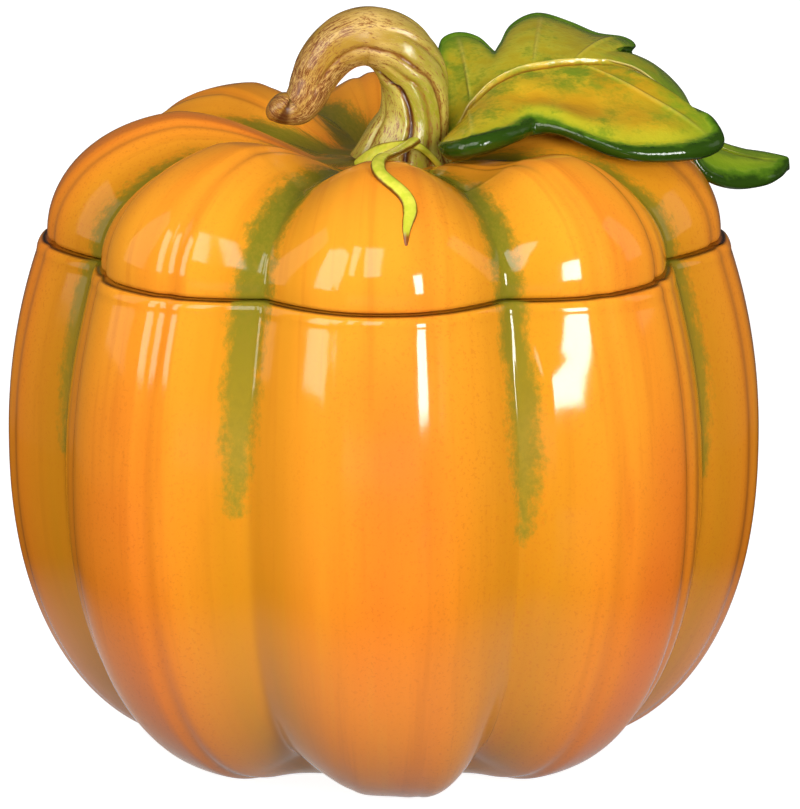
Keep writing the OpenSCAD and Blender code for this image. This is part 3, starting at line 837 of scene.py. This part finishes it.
# Each groove: azimuth at the foot, share of the full depth, place where it has faded out
STEM_GROOVES = [(-55, 0.5, 0.34), (0, 1, 0.44), (33, 0.6, 0.38), (62, 0.75, 0.78),
                (105, 0.5, 0.45), (150, 0.6, 0.4), (195, 0.6, 0.4), (250, 0.6, 0.4)]
STEM_CUT = 0.14          # depth of the deepest one, as a share of the radius
STEM_WAVES = [(3, 22), (5, -31), (8, 45), (13, 60)]
STEM_WAVE_HEIGHT = 0.016
STEM_END = 0.06          # share of the stem's length over which its end closes in a dome


def stem_turn(t):
    return STEM_TWIST * soft((t - 0.08) / 0.34)


def stem_grooves(a, t, wide):
    """Depth of the grooves at angles a (degrees) around the stem and places t along it."""
    cut = np.zeros((len(t), len(a)))
    for azimuth, depth, end in STEM_GROOVES:
        away = (a[None, :] - azimuth + stem_turn(t)[:, None] + 180) % 360 - 180
        fade = 1 - soft((t - end + 0.12) / 0.12)
        cut = np.maximum(cut, depth * bell(away, 0, wide) * fade[:, None])
    return cut


def stem_handle():
    rows, around = 320, 240
    t = np.linspace(0, 1, rows)
    p = curve(STEM_PATH, t)
    c, size = p[:, :3] + [0, 0, SEAM_Z], p[:, 3]
    d = unit(curve(STEM_PATH, t + 0.01)[:, :3] - curve(STEM_PATH, t - 0.01)[:, :3])
    outer = unit(np.cross([0, 1, 0], d))
    front = np.cross(outer, d)
    a = np.arange(around) * 360 / around
    turn = np.radians(a[None, :])
    waves = ripple(11, STEM_WAVES, turn, t[:, None])
    r = size[:, None] * (1 - STEM_CUT * stem_grooves(a, t, 6.0)) * (1 + STEM_WAVE_HEIGHT * waves)
    past = ((t - 1 + STEM_END) / STEM_END).clip(0, 1)
    r = r * np.maximum(np.sqrt(1 - past ** 2), 0.04)[:, None]
    points, faces = shell(c[:, None] + r[..., None] * (np.cos(turn)[..., None] * front[:, None]
                                                       + np.sin(turn)[..., None] * outer[:, None]))
    shape = (rows, around)
    drift = turn + np.radians(stem_turn(t))[:, None]
    flow = np.stack([12 * np.cos(drift), 12 * np.sin(drift),
                     np.broadcast_to(arc_length(c)[:, None], shape)], -1) * MM
    groove_dark = stem_grooves(a, t, 6.5) * (1 - 0.3 * soft((t - 0.4) / 0.1))[:, None]
    marks = {"groove": groove_dark, "along": np.broadcast_to(t[:, None], shape), "flow": flow}
    return build("stem", points, faces, [STEM], "lid", "stem_handle",
                 with_poles(marks), sharp=75)


# ---------------------------------------------------------------- leaf

LEAF_BACK = [
    [20, 4, 29.5], [18, 14, 39.5], [16.5, 28, 48.5], [17.5, 40, 52], [22.5, 46, 53],
    [28.5, 44, 52], [34, 34, 49], [37, 42, 50.5], [40, 54, 53.5], [45, 60, 55.5],
    [50, 62, 55.5], [58, 61, 53], [66.5, 58, 50], [74.5, 54, 49.5], [77.5, 50, 48],
    [74, 43, 46], [80, 46, 44], [86.5, 48, 39.5], [92, 43, 34], [95.5, 37, 26],
    [100, 33, 20.5], [108.5, 34, 18], [118, 31, 18], [124.5, 25, 18]]
LEAF_MID = [
    [21.5, 0, 29], [22.5, 0.5, 31], [24, 1, 33], [26, 2, 35.5], [28, 3.5, 38.5],
    [30.5, 5, 41], [33.5, 7, 43.8], [37, 8.5, 45.8], [40, 10, 47], [43, 11.5, 47.8],
    [46, 12.5, 48.3], [49.5, 13.5, 48.7], [53, 14.5, 49], [57, 15.5, 49], [61, 16.5, 48.8],
    [65, 17, 48.5], [70, 17.5, 47.8], [78, 18.5, 44.5], [89, 20, 34], [97, 20.5, 25],
    [104, 21, 20.5], [112, 21.5, 18.3], [118.5, 22, 17.5], [124.5, 23.5, 17.5]]
LEAF_FRONT = [
    [20, -6, 29.5], [17.5, -16, 30.5], [18, -26, 31], [23, -32, 32.5], [29, -33, 34],
    [35.5, -30, 35], [41.5, -23, 35.5], [46, -18, 36], [52.5, -21, 36.5], [61, -26, 34.5],
    [71, -29, 31.5], [81.5, -28, 30], [93, -25, 30], [99.5, -20.5, 30.5], [103, -15, 32],
    [100.5, -8.5, 35], [95, -3, 37], [88, 4, 36], [92, 3, 26.5], [98, 3, 17.5],
    [107, 6, 13.5], [117, 11, 13.5], [122.5, 17, 15], [125, 22, 17]]
# Half thickness of the rolled edge, along the front edge and on the back one
ROLL_FRONT = [2.2, 3, 3.1, 2.8, 2.1, 2.3, 2.7, 2.7, 2.4, 1.8, 1.8, 1.5]
ROLL_BACK = 1.6
# Side veins: place along the leaf, and the side (1 back, -1 front)
LEAF_VEINS = [(0.17, 1), (0.43, 1), (0.57, 1), (0.16, -1), (0.585, -1)]
LEAF_T, LEAF_CROWN = 4.6, 2.4


def leaf_normals(base):
    """Smoothed upward normals of the leaf's middle surface, kept from leaning too far."""
    n = unit(np.cross(np.gradient(base, axis=0), np.gradient(base, axis=1)))
    n = np.where(n[..., 2:] < 0, -n, n)
    n[..., 2] = np.maximum(n[..., 2], 0.6 * np.linalg.norm(n[..., :2], axis=-1))
    n = unit(n)
    for _ in range(6):
        n[1:-1] = (n[:-2] + 2 * n[1:-1] + n[2:]) / 4
        n[:, 1:-1] = (n[:, :-2] + 2 * n[:, 1:-1] + n[:, 2:]) / 4
    return unit(n)


def leaf_blade():
    rows, half_cols = 420, 36
    t = np.linspace(0, 1, rows)
    # Columns from the front edge (-1) over the midrib (0) to the back edge (1), dense at each
    w = np.linspace(0, 1, half_cols)
    w = w - 0.85 * np.sin(2 * np.pi * w) / (2 * np.pi)
    signed = np.concatenate([-w[:0:-1], w])
    lobe, on_back = np.abs(signed)[None, :], (signed > 0)[None, :]
    on_front = (signed < 0)[None, :]
    mid, back, front = curve(LEAF_MID, t), curve(LEAF_BACK, t), curve(LEAF_FRONT, t)
    edge = np.where(on_back[..., None], back[:, None], front[:, None])
    roll = np.where(on_back, ROLL_BACK, curve([[v] for v in ROLL_FRONT], t))
    crown = LEAF_CROWN * 4 * lobe * (1 - lobe) * (soft(6 * t) * soft(6 - 6 * t))[:, None]
    base = mix(mid[:, None], edge, lobe[..., None]) + crown[..., None] * np.array([0, 0, 1.0])
    base = base + [0, 0, SEAM_Z]
    n = leaf_normals(base)

    # Half thickness: the blade, and the rolled bead along its edge
    width = np.linalg.norm(edge - mid[:, None], axis=-1)
    off_mid, in_edge = lobe * width, (1 - lobe) * width
    blade = LEAF_T * 0.42 * np.sqrt(np.clip(1 - lobe ** 5, 0, 1))
    bead = np.sqrt(np.clip(roll ** 2 - (in_edge - roll) ** 2, 0, None))
    bead = np.minimum(bead, roll * soft(10 * t)[:, None] * soft(12 - 12 * t)[:, None])
    thick = (blade ** 4 + bead ** 4) ** 0.25

    # Relief of the upper side: midrib with a gully in front of it, side veins and a valley
    ridge = bell(off_mid, 0, 0.8)
    gully = bell(off_mid * np.where(on_front, 1, 3), 1.8, 0.7)
    near_tip = soft(lobe / 0.15) * soft((1 - lobe) / 0.35)
    veins = sum(bell(t[:, None], place, 0.006) * (signed * side > 0)[None, :]
                for place, side in LEAF_VEINS) * near_tip
    valley = bell(lobe, 0.5, 0.14) - 0.6 * bell(lobe, 0.78, 0.1)
    valley = valley * on_front * (soft((t - 0.24) / 0.1) * soft((0.62 - t) / 0.1))[:, None]
    fade = (soft(5 * t) * soft((1 - t) * 4))[:, None]
    relief = (1.4 * ridge - 0.5 * gully) * fade + 0.5 * veins - 1.3 * valley
    top = base + n * (thick + relief)[..., None]
    low = base - n * thick[..., None]
    loop = np.concatenate([top, low[:, -2:0:-1]], axis=1)
    points, faces = shell(loop)

    shape, cols = loop.shape[:2], len(signed)
    both = np.concatenate([np.arange(cols), np.arange(cols - 2, 0, -1)])
    marks = {
        "edge_in": in_edge[:, both] / 10,
        "front_side": np.broadcast_to(on_front[:, both], shape).astype(float),
        "across": np.broadcast_to(lobe[:, both], shape),
        "along": np.broadcast_to(t[:, None], shape),
        "roll": roll[:, both] / 10,
        "vein": (ridge ** 2 * fade + 0.3 * veins)[:, both],
        "vein_side": (gully * fade)[:, both],
        "under": np.broadcast_to((np.arange(shape[1]) >= cols).astype(float), shape)}
    return build("leaf", points, faces, [LEAF], "lid", "leaf_blade",
                 with_poles(marks), sharp=75)


def tube(name, path, radii, ups, material, replaced, marks_of, around=28):
    """A swept tube; radii are its half sizes across and out of the surface it lies on.

    marks_of gives the marks from the angles around the tube and the shape of its grid.
    """
    d = unit(np.gradient(path, axis=0))
    side = unit(np.cross(d, ups))
    out = np.cross(side, d)
    a = np.linspace(0, 2 * math.pi, around, endpoint=False)
    wide, high = radii
    rows = (path[:, None] + side[:, None] * (wide[:, None] * np.cos(a))[..., None]
            - out[:, None] * (high[:, None] * np.sin(a))[..., None])
    points, faces = shell(rows)
    shape = rows.shape[:2]
    return build(name, points, faces, [material], "lid", replaced,
                 with_poles(marks_of(a, shape)), sharp=75)


def ends_closed(count, share=0.03):
    """Share of the radius along a tube whose two ends are domes."""
    t = np.linspace(0, 1, count)
    left = np.sqrt(np.clip(1 - (1 - np.clip(t / share, 0, 1)) ** 2, 0, 1))
    right = np.sqrt(np.clip(1 - (1 - np.clip((1 - t) / share, 0, 1)) ** 2, 0, 1))
    return np.maximum(left * right, 0.05)


STALK_PATH = [[13, -1, 25], [18, -1, 26.5], [22, 0, 29], [26, 2, 33.5], [31, 5, 39]]


def leaf_stalk():
    n = 60
    t = np.linspace(0, 1, n)
    path = curve(STALK_PATH, t) + [0, 0, SEAM_Z]
    r = (4 - 1.4 * t) * ends_closed(n, 0.05)
    ups = np.broadcast_to([0, -1.0, 0], path.shape)

    def marks(a, shape):
        zero = np.zeros(shape)
        unused = ("front_side", "across", "along", "vein", "vein_side", "under")
        return {"edge_in": zero + 2, "roll": zero + 0.2, **dict.fromkeys(unused, zero)}
    tube("leaf_stem", path, (r, r), ups, LEAF, "leaf_stalk", marks)


TENDRIL_PATH = [
    [9.5, -13.5, 32.8], [7.2, -22, 33], [4.2, -34, 34], [1.2, -50, 36.2], [-0.6, -60, 37.6],
    [-1.6, -68, 37.4], [-1, -73.5, 36.2], [1.2, -77.5, 34.9], [3.8, -80.5, 33.4],
    [6.2, -83.2, 31.6], [7.6, -85.9, 29.5], [7.8, -88.7, 27.4], [7.2, -91.3, 25.3],
    [6.8, -93.4, 23.4], [6.7, -95.2, 21.2], [6.7, -96.6, 19.4]]
TENDRIL_W, TENDRIL_THICK = 4.4, 2.6


def lid_up(path):
    """Direction out of the lid's surface at each place of a path."""
    r = np.hypot(path[:, 0], path[:, 1])
    k = np.maximum((r - 58) / 40, -0.1)
    return unit(np.stack([path[:, 0] / r * k, path[:, 1] / r * k, np.ones(len(r))], -1))


def tendril():
    n = 260
    t = np.linspace(0, 1, n)
    path = curve(TENDRIL_PATH, t) + [0, 0, SEAM_Z]
    size = (0.18 + 0.82 * np.minimum(1, 3.6 * (1 - t))) * ends_closed(n, 0.02)

    def marks(a, shape):
        edge = np.broadcast_to(np.abs(np.cos(a)), shape)
        return {"outline": edge, "tip": np.broadcast_to(t[:, None], shape)}
    tube("tendril_strap", path, (TENDRIL_W / 2 * size, TENDRIL_THICK / 2 * size), lid_up(path),
         LIME, "tendril", marks, around=32)


COLLAR_PATH = [
    [-8.6, -9, 24.8], [-7, -10.8, 25.7], [-4.8, -12.6, 27], [-2.1, -14.4, 28.5],
    [0.9, -15.4, 29.9], [3.9, -15.4, 31], [6.7, -14.6, 31.6], [9, -14, 31.6],
    [11.4, -13.4, 30.4], [13.8, -12.6, 28.2], [15.8, -11.6, 25.8], [17.2, -10.4, 23.8]]
COLLAR_WIDE = [1, 2, 3, 3.4, 3, 2.2, 1.6, 1.3, 1.1, 1, 1, 1]


def stem_collar():
    n = 160
    t = np.linspace(0, 1, n)
    path = curve(COLLAR_PATH, t) + [0, 0, SEAM_Z]
    wide = curve([[v] for v in COLLAR_WIDE], t)[:, 0]
    close = ends_closed(n, 0.05)
    ups = np.broadcast_to(unit(np.array([0, -0.7, 0.7])), path.shape)

    def marks(a, shape):
        low = np.broadcast_to(0.5 - 0.5 * np.cos(a), shape)
        return {"outline": low, "tip": np.zeros(shape)}
    tube("collar_roll", path, (wide * close, (0.6 + 0.35 * wide) * close), ups, LIME,
         "stem_collar", marks)


jar_body()
lid_shell()
rings()
stem_handle()
leaf_blade()
leaf_stalk()
tendril()
stem_collar()

# ---------------------------------------------------------------- floor, backdrop and light


def disc(name, radius, height, material, corners=96):
    """A level disc that belongs to the studio, not to the jar."""
    a = np.linspace(0, 2 * math.pi, corners, endpoint=False)
    mesh = bpy.data.meshes.new(name)
    pts = np.stack([radius * np.cos(a), radius * np.sin(a), np.full(corners, height)], -1)
    mesh.from_pydata(pts.tolist(), [], [list(range(corners))])
    mesh.materials.append(material)
    sheet = bpy.data.objects.new(name, mesh)
    bpy.context.scene.collection.objects.link(sheet)
    sheet.visible_diffuse = False
    return sheet


def make_floor():
    """A wide white floor, of which the glaze mirrors only the part close to the jar."""
    disc("floor", 5.0, -0.0001, pale_floor()).visible_glossy = False
    disc("mirrored_floor", 0.5, -0.0004, mirrored_floor())


LIGHT_TARGET = Vector((0, 0, 0.12))
NEUTRAL, WARM = (1, 1, 1), (1.0, 0.95, 0.88)
# Rectangular lights: azimuth from the front and rise in degrees, distance, width and height in
# metres, watts, colour. The windows are seen in the glaze; the fills stand for light from
# the ceiling and the table that is too even to be seen in it.
WINDOWS = {
    "window_right": (30, 15.5, 1.5, 0.40, 0.55, 15, NEUTRAL),
    "window_left": (-54, 26, 1.7, 0.60, 1.2, 11, WARM),
    "window_far_left": (-92, 26, 1.7, 0.55, 1.4, 2, WARM),
    "skylight_left": (-27, 40, 1.8, 0.30, 0.95, 4, NEUTRAL),
    "skylight_right": (-6, 40, 1.8, 0.30, 0.95, 4, NEUTRAL),
    "window_far_right": (95, 25, 2.0, 0.5, 1.2, 1.2, NEUTRAL)}
FILLS = {
    "front_fill": (-5, -3, 1.6, 1.6, 0.3, 10, NEUTRAL),
    "overhead": (0, 80, 2.2, 3.0, 3.0, 14, NEUTRAL),
    "behind": (180, 6, 2.4, 2.4, 1.0, 24, NEUTRAL)}


def softbox(name, azimuth, rise, distance, wide, high, watts, colour):
    data = bpy.data.lights.new(name, "AREA")
    data.shape = "RECTANGLE"
    data.size, data.size_y = wide, high
    data.energy = watts
    data.color = colour
    light = bpy.data.objects.new(name, data)
    a, e = math.radians(azimuth), math.radians(rise)
    out = Vector((math.sin(a) * math.cos(e), -math.cos(a) * math.cos(e), math.sin(e)))
    light.location = LIGHT_TARGET + out * distance
    light.rotation_mode = "QUATERNION"
    light.rotation_quaternion = out.to_track_quat("Z", "Y")
    bpy.context.scene.collection.objects.link(light)
    return light


def make_lights():
    for name, values in WINDOWS.items():
        softbox(name, *values)
    for name, values in FILLS.items():
        softbox(name, *values).visible_glossy = False


def make_world():
    """White where the camera sees past the floor, dim for everything else."""
    world = bpy.data.worlds.new("studio")
    world.use_nodes = True
    tree = world.node_tree
    tree.nodes.clear()

    def sky(strength):
        node = tree.nodes.new("ShaderNodeBackground")
        node.inputs["Color"].default_value = (1, 1, 1, 1)
        node.inputs["Strength"].default_value = strength
        return node.outputs[0]

    path = tree.nodes.new("ShaderNodeLightPath")
    mixer = tree.nodes.new("ShaderNodeMixShader")
    out = tree.nodes.new("ShaderNodeOutputWorld")
    tree.links.new(path.outputs["Is Camera Ray"], mixer.inputs[0])
    tree.links.new(sky(0.06), mixer.inputs[1])
    tree.links.new(sky(1.0), mixer.inputs[2])
    tree.links.new(mixer.outputs[0], out.inputs[0])
    bpy.context.scene.world = world


make_floor()
make_lights()
make_world()
view = bpy.context.scene.view_settings
view.view_transform = "Standard"
view.look = "None"
view.exposure = 0.0
